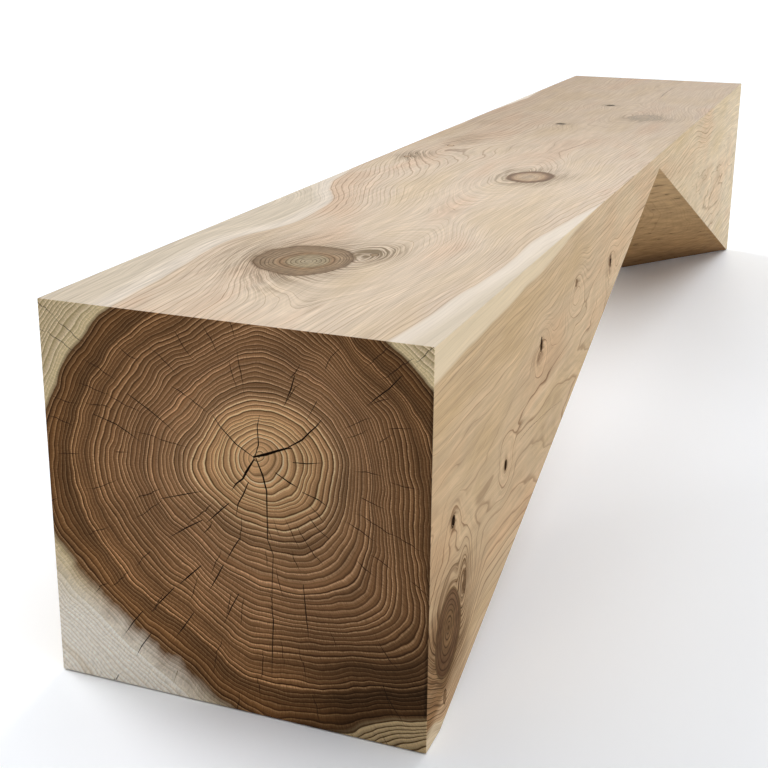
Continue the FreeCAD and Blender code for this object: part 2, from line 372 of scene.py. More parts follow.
def count_years():
    """The part of a year that each place grew in, from 0 just outside the last dark line
    to 1 at the next, and each year's luck. Some years are fatter than others."""
    tree = bpy.data.node_groups.new("cedar years", "ShaderNodeTree")
    tree.interface.new_socket(name="Growth", in_out="INPUT", socket_type="NodeSocketFloat")
    for name in ("Season", "Luck", "Next luck"):
        tree.interface.new_socket(name=name, in_out="OUTPUT", socket_type="NodeSocketFloat")
    growth = add(tree, "NodeGroupInput").outputs["Growth"]
    slow = product(tree, growth, 1 / 34)
    weather = noise(tree, slow, 1, dimensions="1D")
    years = product(tree, growth, 1 / RING)
    years = maths(tree, "MULTIPLY_ADD", weather, 3.0, years)
    season = maths(tree, "FRACT", years)
    year = maths(tree, "FLOOR", years)
    luck = add(tree, "ShaderNodeTexWhiteNoise", {"W": year}, noise_dimensions="1D")
    coming = maths(tree, "ADD", year, 1)
    next_luck = add(tree, "ShaderNodeTexWhiteNoise", {"W": coming}, noise_dimensions="1D")
    add(tree, "NodeGroupOutput", {"Season": season, "Luck": luck, "Next luck": next_luck})
    return tree


growth_group = grow_trunk()
year_group = count_years()


def trunk_here(tree):
    """The trunk at each place: its growth, distance, angle and knots, and its year."""
    grown = add(tree, "ShaderNodeGroup", node_tree=growth_group).outputs
    year = add(tree, "ShaderNodeGroup", {"Growth": grown["Growth"]}, node_tree=year_group)
    return grown, year.outputs


def sanded_cedar():
    """Long grain, planed, sanded and thinly oiled: matt and pale, with fine reddish ring
    lines, cream sapwood and brown knots. The top is paler and cooler: painted light."""
    material = new_material("sanded cedar, oiled")
    tree = material.node_tree
    where = add(tree, "ShaderNodeTexCoord")
    place = where.outputs["Object"]
    grown, year = trunk_here(tree)

    # Ground colour: warm on the sides, paler and cooler on top, which is painted light.
    # Along the bench the top darkens towards the far end and the sides lighten.
    axes = parts(tree, place)
    along = remap(tree, axes["X"], -1.2, 1.2, 0, 1)
    facing = parts(tree, where.outputs["Normal"])
    upward = remap(tree, facing["Z"], 0.3, 0.9, 0, 1)
    side = ramp(
        tree, along, [(0.0, "#C9AE8B"), (0.25, "#CCB393"), (0.6, "#D6C1A2"), (1.0, "#DECDB2")])
    top = ramp(
        tree, along, [(0.0, "#CEBCA7"), (0.35, "#CAB8A3"), (0.62, "#AD9982"), (1.0, "#9F8A71")])
    ground = blend(tree, upward, side, top)
    drawn = times(tree, place, (3.5, 11, 11))
    patches = noise(tree, drawn, 3)
    blush = ramp(tree, patches, [(0.32, "#F9F6ED"), (0.5, "#FFFFFF"), (0.66, "#FDF5F0")])
    ground = blend(tree, 1.0, ground, blush, blend_type="MULTIPLY")

    # Within a year the wood is streaked, and the streaks bend round the knots with it.
    flow = unrolled(tree, grown["Growth"], 0.45, axes["X"], 9)
    streaks = noise(tree, flow, 3, roughness=0.65, dimensions="2D")
    streak = varied(tree, streaks, 0.89, 1.09)

    # Heartwood and sapwood part along a ring, on top a year sooner. The last heartwood
    # is greyer, and the first sapwood palest.
    parting = remap(tree, upward, 0, 1, 4, 0)
    parting = maths(tree, "SUBTRACT", grown["Growth"], parting)
    sap = eased(tree, parting, HEART_END, SAP_START, 0, 1)
    last_heart = product(tree, eased(tree, grown["Growth"], 200, 246, 0, 1), upward)
    ground = blend(tree, last_heart, ground, times(tree, ground, (0.95, 0.935, 0.925)))
    outermost = eased(tree, parting, 256, 276, 0, 1)
    cream = blend(tree, outermost, linear("#D5C9BA"), linear("#C8BBA8"))
    # The sapwood is yellower on the sides than on top: painted light, as in the ground colour.
    cream = blend(tree, upward, linear("#DCC9AA"), cream)
    ground = blend(tree, sap, ground, cream)
    vary = remap(tree, year["Luck"], 0, 1, 0.955, 1.03)
    ground = scaled(tree, ground, vary)

    # A thin line closes each year. It stays thin where the cut runs along the ring, and
    # it comes and goes along its length.
    over = maths(tree, "SINE", grown["Angle"])
    beside = maths(tree, "COSINE", grown["Angle"])
    steep = maths(tree, "ABSOLUTE", between(tree, upward, over, beside))
    narrow = remap(tree, steep, 0.05, 0.7, 0.22, 1)
    by_knot = eased(tree, grown["Knot"], 4.2, 1.7, 0, 0.8)
    narrow = maths(tree, "MAXIMUM", narrow, by_knot)
    unspent = maths(tree, "SUBTRACT", 1, year["Season"])
    left = maths(tree, "DIVIDE", unspent, narrow)
    late = eased(tree, left, 0.28, 0.06, 0, 1)
    ended = remap(tree, left, 0, 0.06, 0, 1)
    year_end = product(tree, late, ended)
    strength = remap(tree, year["Luck"], 0, 1, 0.45, 1.0)
    fade = remap(tree, patches, 0.35, 0.65, 0.5, 1)
    close = remap(tree, grown["Knot"], 3.2, 1.2, 0, 1)
    fade = maths(tree, "MAXIMUM", fade, close)
    by_tail = eased(tree, away_from(tree, place, *TAIL_RINGS), 1, 0.5, 0, 0.9)
    fade = maths(tree, "MAXIMUM", fade, by_tail)
    clean = remap(tree, axes["Y"], 0.05, -0.05, 0.5, 0.2)
    weak = remap(tree, sap, 0, 1, 1, clean)
    plainer = remap(tree, along, 0.55, 0.9, 1, 0.7)
    line = product(tree, year_end, strength, fade, weak, plainer)
    reddish = between_tints(tree, upward, (0.34, 0.245, 0.175), (0.40, 0.32, 0.25))
    reddish = times(tree, ground, reddish)
    colour = blend(tree, line, ground, reddish)

    # Knots: a greenish core, brown rings and a dark rim, and a stain round them.
    half_share = product(tree, grown["Knot"], 0.5)
    near_tone = ramp(tree, half_share, [
        (0.0, "#A2947A"), (0.2, "#96866A"), (0.27, "#876A4D"), (0.34, "#8E785E"),
        (0.46, "#836D55"), (0.5, "#6F5943"), (0.55, "#A18A6E")])
    far_tone = ramp(tree, half_share, [
        (0.0, "#A3907A"), (0.15, "#B09A80"), (0.32, "#AB9072"), (0.38, "#80644A"),
        (0.44, "#60452D"), (0.5, "#60452D"), (0.56, "#9C8262")])
    # The great knot has the near tones, the second the far ones. Past them they are plain.
    further = maths(tree, "GREATER_THAN", along, 0.3)
    knot_tone = blend(tree, further, near_tone, far_tone)
    furthest = maths(tree, "GREATER_THAN", along, 0.6)
    knot_tone = blend(tree, furthest, knot_tone, linear("#84735D"))
    side_tone = ramp(tree, half_share, [
        (0.0, "#463120"), (0.05, "#86694B"), (0.2, "#8A6D4E"), (0.33, "#755840"),
        (0.42, "#7F6247"), (0.47, "#5F442E"), (0.53, "#B2956F")])
    knot_tone = blend(tree, upward, side_tone, knot_tone)
    mottle = noise(tree, place, 3, scale=90, roughness=0.6)
    mottle = varied(tree, mottle, 0.78, 1.24)
    knot_tone = scaled(tree, knot_tone, mottle)
    faint = remap(tree, along, 0.3, 0.8, 0.95, 0.75)
    inside = eased(tree, grown["Knot"], 1.12, 0.97, 0, faint)
    stain = eased(tree, grown["Knot"], 2.2, 1.0, 0, 1)
    for middle, long, wide, strong in SMUDGES:
        away = away_from(tree, place, middle, (long, wide, wide))
        stain = maths(tree, "MAXIMUM", stain, eased(tree, away, 1, 0.1, 0, strong))
    stain_tone = blend(tree, upward, linear("#77583B"), linear("#806E56"))
    smear = remap(tree, streaks, 0.58, 0.38, 0.1, 0.85)
    stain = product(tree, stain, smear)
    colour = blend(tree, stain, colour, stain_tone)
    colour = blend(tree, inside, colour, knot_tone)
    knot_line = eased(tree, unspent, 0.42, 0.08, 0, 1)
    lined = remap(tree, along, 0.2, 0.34, 0.75, 0.25)
    knot_line = product(tree, knot_line, inside, lined)
    colour = blend(tree, knot_line, colour, linear("#48351F"))

    # The near front foot is browner towards the floor and fades upwards, less so along
    # its sloping edge.
    low = eased(tree, axes["Z"], 0.24, 0.06, 0, 1)
    nearest = eased(tree, axes["X"], -0.96, -1.14, 0, 1)
    front = remap(tree, axes["Y"], 0, -0.1, 0, 1)
    blot = remap(tree, patches, 0.35, 0.6, 0.45, 1)
    slope = Vector((-BRIDGE_RISE, 0, NEAR_REACH)).normalized()
    edge = measured(tree, "DOT_PRODUCT", place, slope)
    start = Vector((-NEAR_REACH, 0, STAND)).dot(slope)
    by_sloping_edge = eased(tree, edge, start + 22 * MM, start + 40 * MM, 0.12, 1)
    darker_foot = product(tree, low, nearest, front, blot, by_sloping_edge)
    brown = times(tree, colour, (0.50, 0.42, 0.33))
    colour = blend(tree, darker_foot, colour, brown)
    colour = blend(tree, product(tree, year_end, darker_foot), colour, linear("#3F2C1C"))

    # Fibres about a millimetre apart and 80 mm long, in bundles four times as wide.
    drawn = times(tree, place, (12, 950, 950))
    fibres = noise(tree, drawn, 3, roughness=0.6)
    shade = varied(tree, fibres, 0.90, 1.08)
    drawn = times(tree, place, (9, 230, 230))
    bundles = noise(tree, drawn, 2)
    shade = product(tree, shade, varied(tree, bundles, 0.90, 1.08), streak)
    # The front sapwood on top is the cleanest.
    sap_front = remap(tree, axes["Y"], 0.05, -0.05, 0, 0.65)
    sap_front = product(tree, sap_front, sap)
    shade = between(tree, sap_front, shade, 1.02)
    colour = scaled(tree, colour, shade)

    rough = varied(tree, fibres, 0.62, 0.78)
    give_surface(
        tree, colour, rough, (fibres, 0.25, 0.0002), {"IOR": 1.45, "Specular IOR Level": 0.03})
    return material


def brushed_end_grain():
    """End grain, sawn and brushed: the soft early wood is worn away between hard ridges, so
    it is dark and matt, with fine radial hairlines. The ridges are pale, partly a painted
    highlight."""
    material = new_material("brushed cedar end grain")
    tree = material.node_tree
    grown, year = trunk_here(tree)
    place = own_place(tree)

    # Each year starts on a pale ridge, wears down and ends in a dark furrow. The ridge's pale
    # is partly a painted highlight.
    wear = ramp(tree, year["Season"], [
        (0.0, "#FFFFFF"), (0.1, "#F8F8F8"), (0.26, "#C4C4C4"), (0.6, "#ACACAC"),
        (0.8, "#505050"), (0.9, "#000000"), (1.0, "#FFFFFF")])
    years = product(tree, grown["Growth"], 1 / 300)
    body = ramp(tree, years, [
        (0.0, "#DBAB7A"), (0.17, "#D29F6E"), (0.235, "#A57B55"), (0.4, "#956C49"),
        (0.62, "#89613E"), (0.78, "#6D4A2B"), (0.83, "#765334")])
    # Rays cross the rings, finer than a millimetre, and leave the ridges ragged.
    across_ring = unrolled(tree, grown["Angle"], 150, grown["Growth"], 1 / 7)
    rays = noise(tree, across_ring, 3, roughness=0.7, dimensions="2D")
    crest = product(
        tree, remap(tree, wear, 0.45, 1, 0, 1), remap(tree, year["Luck"], 0, 1, 0.25, 1),
        remap(tree, grown["Growth"], 10, 75, 0.25, 1), varied(tree, rays, 0.6, 1.2))
    ditch = remap(tree, wear, 0.42, 0, 0, 1)
    ditch = product(tree, ditch, remap(tree, year["Next luck"], 0, 1, 0.45, 1))
    # Dry and wet spells show as bands, and each year's own weeks as fine lines.
    spell = product(tree, grown["Growth"], 1 / 15)
    spell = noise(tree, spell, 1, dimensions="1D")
    spell = varied(tree, spell, 0.74, 1.2)
    weeks = product(tree, grown["Growth"], 0.9)
    weeks = noise(tree, weeks, 2, dimensions="1D")
    weeks = varied(tree, weeks, 0.8, 1.16)
    body = scaled(tree, body, product(tree, spell, weeks))
    ridge = times(tree, body, (3.1, 3.8, 4.6))
    furrow = times(tree, body, (0.10, 0.075, 0.06))
    colour = blend(tree, crest, body, ridge)
    colour = blend(tree, ditch, colour, furrow)
    colour = vector_maths(tree, "MINIMUM", colour, linear("#F6DFC2")[:3])

    # Sapwood: pale, with soft grey-green furrows.
    axes = parts(tree, place)
    low = eased(tree, axes["Z"], 0.20, 0.06, 0, 1)
    back = eased(tree, axes["Y"], -0.04, 0.08, 0, 1)
    # Low at the back the sapwood reaches further in, and it is painted paler there, as lit by the
    # floor.
    wide_sap_and_painted_light = product(tree, low, back)
    # Low at the front the heartwood reaches further out, the sapwood is tan with dark lines, and
    # it is darker.
    low_front = eased(tree, axes["Y"], -0.02, -0.16, 0, 1)
    low_front = product(tree, low_front, low)
    faded = maths(tree, "MULTIPLY_ADD", wide_sap_and_painted_light, 21, SAP_START)
    parting = maths(tree, "MULTIPLY_ADD", low_front, 9, grown["Growth"])
    spread = unrolled(tree, grown["Angle"], 13, grown["Growth"], 1 / 40)
    feather = noise(tree, spread, 2, dimensions="2D")
    feather = product(tree, maths(tree, "SUBTRACT", feather, 0.5), wide_sap_and_painted_light)
    parting = maths(tree, "MULTIPLY_ADD", feather, 20, parting)
    sap = remap(tree, parting, HEART_END, faded, 0, 1)
    cream = blend(tree, wide_sap_and_painted_light, linear("#FCEAC8"), linear("#FFF8EC"))
    line_tone = between_tints(tree, wide_sap_and_painted_light, (0.42, 0.38, 0.27), (0.81, 0.76, 0.68))
    grey_green = times(tree, cream, line_tone)
    tan = times(tree, cream, (0.70, 0.64, 0.56))
    # The sapwood is cream on its ridges, partly a painted highlight, and tan between them.
    cream = blend(tree, maths(tree, "MAXIMUM", crest, wide_sap_and_painted_light), tan, cream)
    shadow = remap(tree, wear, 0.62, 0.12, 0, 1)
    pale = blend(tree, shadow, cream, grey_green)
    rim_end = maths(tree, "MULTIPLY_ADD", wide_sap_and_painted_light, 26, 266)
    rim_most = eased(tree, axes["Z"], 0.13, 0.08, 0.6, 0.1)
    rim = eased(tree, grown["Growth"], rim_end, 254, 0, rim_most)
    pale = blend(tree, rim, pale, linear("#E4CE9F"))
    stained = blend(tree, shadow, linear("#C9AE83"), linear("#574129"))
    tan = times(tree, pale, (0.80, 0.73, 0.64))
    banded = eased(tree, spell, 1.0, 0.8, 0, 0.5)
    banded = product(tree, banded, wide_sap_and_painted_light)
    pale = blend(tree, banded, pale, tan)
    pale = blend(tree, low_front, pale, stained)
    colour = blend(tree, sap, colour, pale)

    # Painted light and shade: lighter towards the back and low down, as lit by the floor,
    # and darker towards the front, with a painted line of shade on the front arris. The
    # lower front corner is darker still.
    across = remap(tree, axes["Y"], 0.15, -0.21, 0.95, 0.745)
    upright = eased(tree, axes["Z"], 0.21, 0.09, 1.0, 1.27)
    darker_end = remap(tree, axes["X"], -1, 1, 1, 0.78)
    # A painted line of shade along the front arris.
    arris = remap(tree, axes["Y"], -0.2108, -0.2132, 1, 0.55)
    cloud = varied(tree, noise(tree, place, 2, scale=16), 0.84, 1.16)
    darker_low_front = remap(tree, low_front, 0, 1, 1, 0.35)
    tone = product(tree, across, upright, darker_end, arris, cloud, darker_low_front)
    heart_tone = between(tree, sap, tone, 1.0)
    colour = scaled(tree, colour, heart_tone)

    # Pores and rays: a fine speckle.
    speckle = noise(tree, place, 2, scale=900)
    grit = varied(tree, speckle, 0.88, 1.10)
    grit = product(tree, grit, varied(tree, rays, 0.86, 1.15))
    colour = scaled(tree, colour, grit)

    # Hairlines: short dashes that point at the pith, a little stepped at each ring.
    turn = product(tree, year["Luck"], 0.06)
    turn = maths(tree, "MULTIPLY_ADD", grown["Angle"], 9, turn)
    ring = product(tree, grown["Radius"], 1 / 50)
    polar = add(tree, "ShaderNodeCombineXYZ", {0: turn, 1: ring})
    cells = add(
        tree, "ShaderNodeTexVoronoi", {"Vector": polar, "Scale": 1}, voronoi_dimensions="2D")
    gap = vector_maths(tree, "SUBTRACT", polar, cells.outputs["Position"])
    gap = vector_maths(tree, "ABSOLUTE", gap)
    gap = parts(tree, gap)
    dice = add(tree, "ShaderNodeSeparateColor", {0: cells.outputs["Color"]}).outputs
    sideways = product(tree, gap["X"], grown["Radius"])
    length = remap(tree, dice["Green"], 0, 1, 0.2, 0.62)
    nearness = maths(tree, "DIVIDE", gap["Y"], length)
    width = remap(tree, nearness, 0.3, 1, 4.4, 0)
    crack = maths(tree, "LESS_THAN", sideways, width)
    chosen = maths(tree, "GREATER_THAN", dice["Red"], 0.63)
    clear = remap(tree, grown["Radius"], 55, 80, 0, 0.85)
    crack = product(tree, crack, chosen, clear)
    colour = blend(tree, crack, colour, linear("#2E1F14"))

    give_surface(
        tree, colour, 0.82, (wear, 0.2, 0.0004), {"IOR": 1.45, "Specular IOR Level": 0.08})
    return material


def sawn_cedar():
    """The inner faces, sawn askew across the grain and left from the saw: browner than
    the long grain, streaked, with faint saw marks."""
    material = new_material("sawn cedar across the grain")
    tree = material.node_tree
    place = own_place(tree)
    grown, year = trunk_here(tree)
    axes = parts(tree, place)
    # Browner and darker towards the floor.
    ground = ramp(tree, remap(tree, axes["Z"], 0, 0.4, 0, 1), [
        (0.0, "#957350"), (0.2, "#AC885D"), (0.55, "#B5946A"), (1.0, "#C0A178")])
    drawn = times(tree, place, (5, 38, 120))
    streaks = noise(tree, drawn, 4, roughness=0.6)
    shade = varied(tree, streaks, 0.72, 1.2)
    colour = scaled(tree, ground, shade)
    dark = eased(tree, streaks, 0.36, 0.30, 0, 0.6)
    colour = blend(tree, dark, colour, linear("#5A4029"))
    late = eased(tree, year["Season"], 0.6, 0.95, 0, 0.28)
    late = product(tree, late, year["Luck"])
    colour = blend(tree, late, colour, linear("#6B4C31"))
    sap = remap(tree, grown["Growth"], 248, 254, 0, 0.8)
    colour = blend(tree, sap, colour, linear("#C4AE86"))
    inside = eased(tree, grown["Knot"], 1.1, 0.95, 0, 0.7)
    colour = blend(tree, inside, colour, linear("#5F4732"))
    passes = add(
        tree, "ShaderNodeTexWave",
        {"Vector": place, "Scale": 34, "Distortion": 1.6, "Detail": 2, "Detail Scale": 0.6},
        bands_direction="X")
    marks = remap(tree, passes.outputs["Fac"], 0, 1, 0.93, 1.04)
    colour = scaled(tree, colour, marks)
    relief = passes.outputs["Fac"], 0.3, 0.0005
    give_surface(tree, colour, 0.85, relief, {"IOR": 1.45, "Specular IOR Level": 0.05})
    return material


def torn_fibre():
    """The walls of a check or a dropped knot: torn along the fibres, dark with painted shade."""
    material = new_material("torn cedar in the checks")
    tree = material.node_tree
    place = own_place(tree)
    drawn = times(tree, place, (60, 700, 700))
    fibres = noise(tree, drawn, 3)
    colour = ramp(tree, fibres, [(0.3, "#1C120C"), (0.7, "#453122")])
    give_surface(tree, colour, 0.9, (fibres, 0.6, 0.0005), {"Specular IOR Level": 0.1})
    return material


def moulded_nylon():
    """The glide cups: dark brown nylon with a fine moulded grain and a dull gloss."""
    material = new_material("moulded nylon, dark brown")
    tree = material.node_tree
    place = own_place(tree)
    grain = noise(tree, place, 2, scale=1400)
    colour = ramp(tree, grain, [(0.3, "#332D28"), (0.7, "#3E3731")])
    rough = varied(tree, grain, 0.42, 0.6)
    give_surface(tree, colour, rough, (grain, 0.3, 0.0001), {"IOR": 1.53})
    return material


def pressed_felt():
    """The glide pads: grey-brown wool felt, matt, with matted fibres that lie every way."""
    material = new_material("pressed wool felt")
    tree = material.node_tree
    place = own_place(tree)
    mat = add(
        tree, "ShaderNodeTexNoise",
        {"Vector": place, "Scale": 1100, "Detail": 4, "Roughness": 0.7, "Distortion": 2.0})
    colour = ramp(tree, mat, [(0.3, "#57514A"), (0.5, "#6E675D"), (0.7, "#8A8276")])
    give_surface(tree, colour, 0.95, (mat, 0.7, 0.0004), {"Specular IOR Level": 0.1})
    return material


def zinc_plate():
    """The glide screws: bright zinc plate with a faint crystal pattern."""
    material = new_material("zinc-plated steel")
    tree = material.node_tree
    place = own_place(tree)
    crystals = add(tree, "ShaderNodeTexVoronoi", {"Vector": place, "Scale": 1600})
    tone = add(tree, "ShaderNodeSeparateColor", {0: crystals.outputs["Color"]})
    colour = ramp(tree, tone.outputs["Red"], [(0.0, "#A9ABAA"), (1.0, "#C2C3BF")])
    rough = remap(tree, tone.outputs["Green"], 0, 1, 0.28, 0.42)
    give_surface(tree, colour, rough, None, {"Metallic": 1.0})
    return material


def half_of_block(end, reach):
    """The block from mid-length to one end, with its two skewed inner faces."""
    bpy.ops.object.select_all(action="DESELECT")
    bpy.ops.mesh.primitive_cube_add(
        size=1, location=(end / 2, 0, STAND + HEIGHT / 2), scale=(abs(end), WIDTH, HEIGHT))
    half = bpy.context.object
    bpy.ops.object.transform_apply(location=True, rotation=True, scale=True)
    bpy.ops.object.mode_set(mode="EDIT")
    for side in (-1, 1):
        crown = Vector((0, side * WIDTH / 2, STAND + BRIDGE_RISE))
        keel = Vector((0, 0, STAND + KEEL_RISE))
        toe = Vector((math.copysign(reach, end), side * WIDTH / 2, STAND))
        into_hollow = (keel - crown).cross(toe - crown).normalized()
        if into_hollow.z > 0:
            into_hollow.negate()
        inner_faces.append((crown, into_hollow))
        bpy.ops.mesh.select_all(action="SELECT")
        bpy.ops.mesh.bisect(plane_co=crown, plane_no=into_hollow, use_fill=True, clear_outer=True)
    bpy.ops.object.mode_set(mode="OBJECT")
    return half


def select_faces(piece, chosen):
    """Leave only the faces that chosen() picks selected."""
    for item in list(piece.data.vertices) + list(piece.data.edges):
        item.select = False
    for face in piece.data.polygons:
        face.select = chosen(face)


def apply_modifier(piece, kind, **settings):
    """Add a modifier and apply it at once."""
    modifier = piece.modifiers.new(kind.lower(), kind)
    for name, value in settings.items():
        setattr(modifier, name, value)
    bpy.context.view_layer.objects.active = piece
    bpy.ops.object.modifier_apply(modifier=modifier.name)


def saw_block():
    """The two halves, joined at mid-length, with their arrises eased."""
    near = half_of_block(-LENGTH / 2, NEAR_REACH)
    far = half_of_block(LENGTH / 2, FAR_REACH)
    bpy.ops.object.select_all(action="DESELECT")
    near.select_set(True)
    far.select_set(True)
    bpy.context.view_layer.objects.active = near
    bpy.ops.object.join()
    block = bpy.context.object
    select_faces(block, lambda face: abs(face.center.x) < MM and abs(face.normal.x) > 0.99)
    bpy.ops.object.mode_set(mode="EDIT")
    bpy.ops.mesh.select_mode(type="FACE")
    bpy.ops.mesh.delete(type="FACE")
    bpy.ops.mesh.select_all(action="SELECT")
    bpy.ops.mesh.remove_doubles(threshold=0.1 * MM)
    bpy.ops.mesh.normals_make_consistent(inside=False)
    bpy.ops.object.mode_set(mode="OBJECT")
    block.name = "cedar_block"
    block.data.name = "cedar_block"
    apply_modifier(
        block, "BEVEL", width=ARRIS, segments=3, limit_method="ANGLE",
        angle_limit=math.radians(15))
    return block


# Heart checks in the near end. Each is a path of places from the pith, towards the back
# and up, in millimetres, and its gap at the widest. The far end has the widest of them,
# the other way round.
HEART_CHECKS = [
    ("right", [(2, 1), (-12, 6), (-23, 11), (-35, 16), (-41, 17)], 3.4),
    ("right_on", [(-36, 17), (-51, 27), (-59, 36), (-66, 43), (-74, 54)], 2.0),
    ("up", [(0, 2), (-4, 15), (-3, 34), (-6, 47)], 1.4),
    ("down", [
        (-1, 0), (-8, -17), (-12, -33), (-12, -59), (-12, -86), (-18, -102), (-16, -140),
        (-16, -167)], 2.2),
    ("down_on", [(-15, -160), (-17, -176), (-15, -214), (-14, -249)], 1.3),
    ("left_low", [(1, -1), (10, -16), (14, -24), (22, -31), (27, -39)], 2.8),
    ("left_up", [(2, 1), (21, 12), (38, 28), (49, 43)], 1.4),
    ("right_low", [(-22, -12), (-37, -20), (-47, -24)], 1.7),
    ("right_low_on", [(-51, -28), (-68, -33), (-80, -40)], 1.3),
    ("flat", [(-41, 2), (-56, 3), (-74, 7)], 1.3),
    ("low_a", [(8, -27), (14, -41), (20, -52), (23, -67)], 1.7),
    ("low_b", [(31, -54), (43, -66), (57, -80)], 1.5),
    ("low_c", [(62, -78), (81, -90), (102, -105)], 1.5),
    ("low_d", [(19, -90), (27, -103), (36, -120)], 1.5),
    ("low_e", [(39, -124), (47, -140), (57, -158)], 1.6),
    ("low_f", [(65, -130), (80, -145), (94, -159)], 1.7),
    ("low_g", [(98, -162), (113, -179), (128, -197)], 1.4),
    ("low_h", [(22, -154), (31, -171), (40, -192)], 1.4),
    ("low_i", [(76, -187), (89, -207), (98, -220)], 1.3),
    ("low_j", [(138, -198), (150, -213), (164, -234)], 1.4),
    ("low_k", [(129, -223), (141, -240), (149, -255)], 1.3),
    ("low_l", [(98, -261), (105, -280)], 1.3),
    ("low_m", [(-51, -129), (-54, -165), (-57, -191)], 1.3),
    ("low_n", [(-138, -224), (-149, -258)], 1.2),
    ("back_a", [(143, 48), (120, 35), (106, 26), (85, 11)], 1.3),
    ("back_b", [(185, 20), (159, 13), (145, 6), (129, -3)], 1.3),
    ("back_c", [(109, -62), (80, -52), (59, -45)], 1.2),
    ("front_a", [(-153, 106), (-141, 92), (-127, 80), (-118, 71)], 1.3),
    ("front_b", [(-44, 92), (-40, 78), (-33, 61)], 1.6),
    ("front_c", [(-67, 69), (-56, 48)], 1.4),
    ("front_d", [(-132, 37), (-147, 49)], 1.2),
]

# Drying cracks in the top and the front: the way into the wood, the path as places in
# millimetres, and the gap at the widest.
SURFACE_CRACKS = [
    ("far_top", (0, 0, -1), [
        (1010, -71, 431), (920, -72, 431), (848, -74, 431), (736, -83, 431)], 1.4),
    ("mid_top", (0, 0, -1), [
        (-60, -53, 431), (-23, -60, 431), (24, -67, 431), (78, -74, 431), (125, -82, 431)], 0.8),
    ("side_low", (0, 1, 0), [
        (-882, -215, 223), (-847, -215, 223), (-783, -215, 217), (-713, -215, 209),
        (-660, -215, 200)], 0.6),
    ("side_tick", (0, 1, 0), [(-879, -215, 237), (-862, -215, 243)], 0.9),
    ("slit_tail", (0, 1, 0), [(-399, -215, 306), (-397, -215, 297), (-395, -215, 288)], 1.6),
]

# Where a dead knot dropped out: places and half sizes in millimetres.
KNOT_HOLES = [
    ("black", (-1130, -215, 227), (5.2, 6, 6.8)),
    ("slit", (-796, -215, 316), (3.8, 6, 10.5)),
    ("low", (-939, -215, 214), (3.4, 6, 7)),
    ("far_slit", (-393, -215, 329), (3.6, 6, 9.5)),
    ("pin", (280, 30, 431), (6, 9.5, 5)),
    ("far_pin", (611, -1, 431), (7, 10.5, 5)),
]

# The glides' seats in metres: where they are, the round seat, and the screw's hole.
GLIDES = [(x, y) for x in (-1.170, 1.170) for y in (-0.173, 0.173)]
SEAT_RADIUS, SEAT_DEPTH, CORE_RADIUS, CORE_TOP = 0.0163, 0.005, 0.0019, 0.02915


def widened(inward, factor):
    """Resize factors that widen a crack and leave its depth as it is."""
    return [1 if abs(part) > 0.5 else factor for part in inward]


def open_crack(name, places, inward, gap, depth):
    """A blade of air along a path: a thin wedge, extruded from bend to bend and narrowed
    to nothing at its far tip and towards its bottom."""
    inward = Vector(inward)
    ahead = (places[-1] - places[0]).normalized()
    across = inward.cross(ahead).normalized()
    turn = Matrix((ahead, across, inward)).transposed()
    bpy.ops.object.select_all(action="DESELECT")
    start = places[0] + inward * (depth / 2 - PROUD)
    bpy.ops.mesh.primitive_cube_add(
        size=1, location=start, rotation=turn.to_euler(),
        scale=(0.4 * MM, gap * GAP_START, depth))
    blade = bpy.context.object
    blade.name = f"crack_{name}"
    bpy.ops.object.transform_apply(location=True, rotation=True, scale=True)
    for chosen in (inward, ahead):
        select_faces(blade, lambda face: face.normal.dot(chosen) > 0.95)
        bpy.ops.object.mode_set(mode="EDIT")
        if chosen is inward:
            bpy.ops.transform.resize(value=widened(inward, GAP_BOTTOM), center_override=start)
            bpy.ops.object.mode_set(mode="OBJECT")
    count = len(places) - 1
    for i in range(count):
        bpy.ops.mesh.extrude_region_move(
            TRANSFORM_OT_translate={"value": places[i + 1] - places[i]})
        factor = GAP_TAPER if i < count - 1 else GAP_TIP
        if i == 0 and count > 1:
            factor = GAP_SWELL
        bpy.ops.transform.resize(value=widened(inward, factor), center_override=places[i + 1])
    bpy.ops.mesh.select_all(action="SELECT")
    bpy.ops.mesh.normals_make_consistent(inside=False)
    bpy.ops.object.mode_set(mode="OBJECT")
    return blade


def heart_check(end, name, path, gap):
    """A check in an end of the block. At the far end it opens the other way."""
    side = -1 if end > 0 else 1
    places = [Vector((end, (PITH_Y + side * y) * MM, (PITH_Z + z) * MM)) for y, z in path]
    return open_crack(name, places, (side, 0, 0), gap * MM, HEART_DEPTH)


def knot_hole(name, place, half_size):
    """A pit with rough walls, where a dead knot dropped out."""
    bpy.ops.object.select_all(action="DESELECT")
    bpy.ops.mesh.primitive_uv_sphere_add(
        segments=14, ring_count=9, radius=1, location=Vector(place) * MM,
        scale=Vector(half_size) * MM)
    pit = bpy.context.object
    pit.name = f"knot_hole_{name}"
    bpy.ops.object.transform_apply(location=True, rotation=True, scale=True)
    bpy.ops.object.mode_set(mode="EDIT")
    bpy.ops.mesh.select_all(action="SELECT")
    bpy.ops.transform.vertex_random(offset=0.8 * MM, seed=len(name))
    bpy.ops.object.mode_set(mode="OBJECT")
    return pit


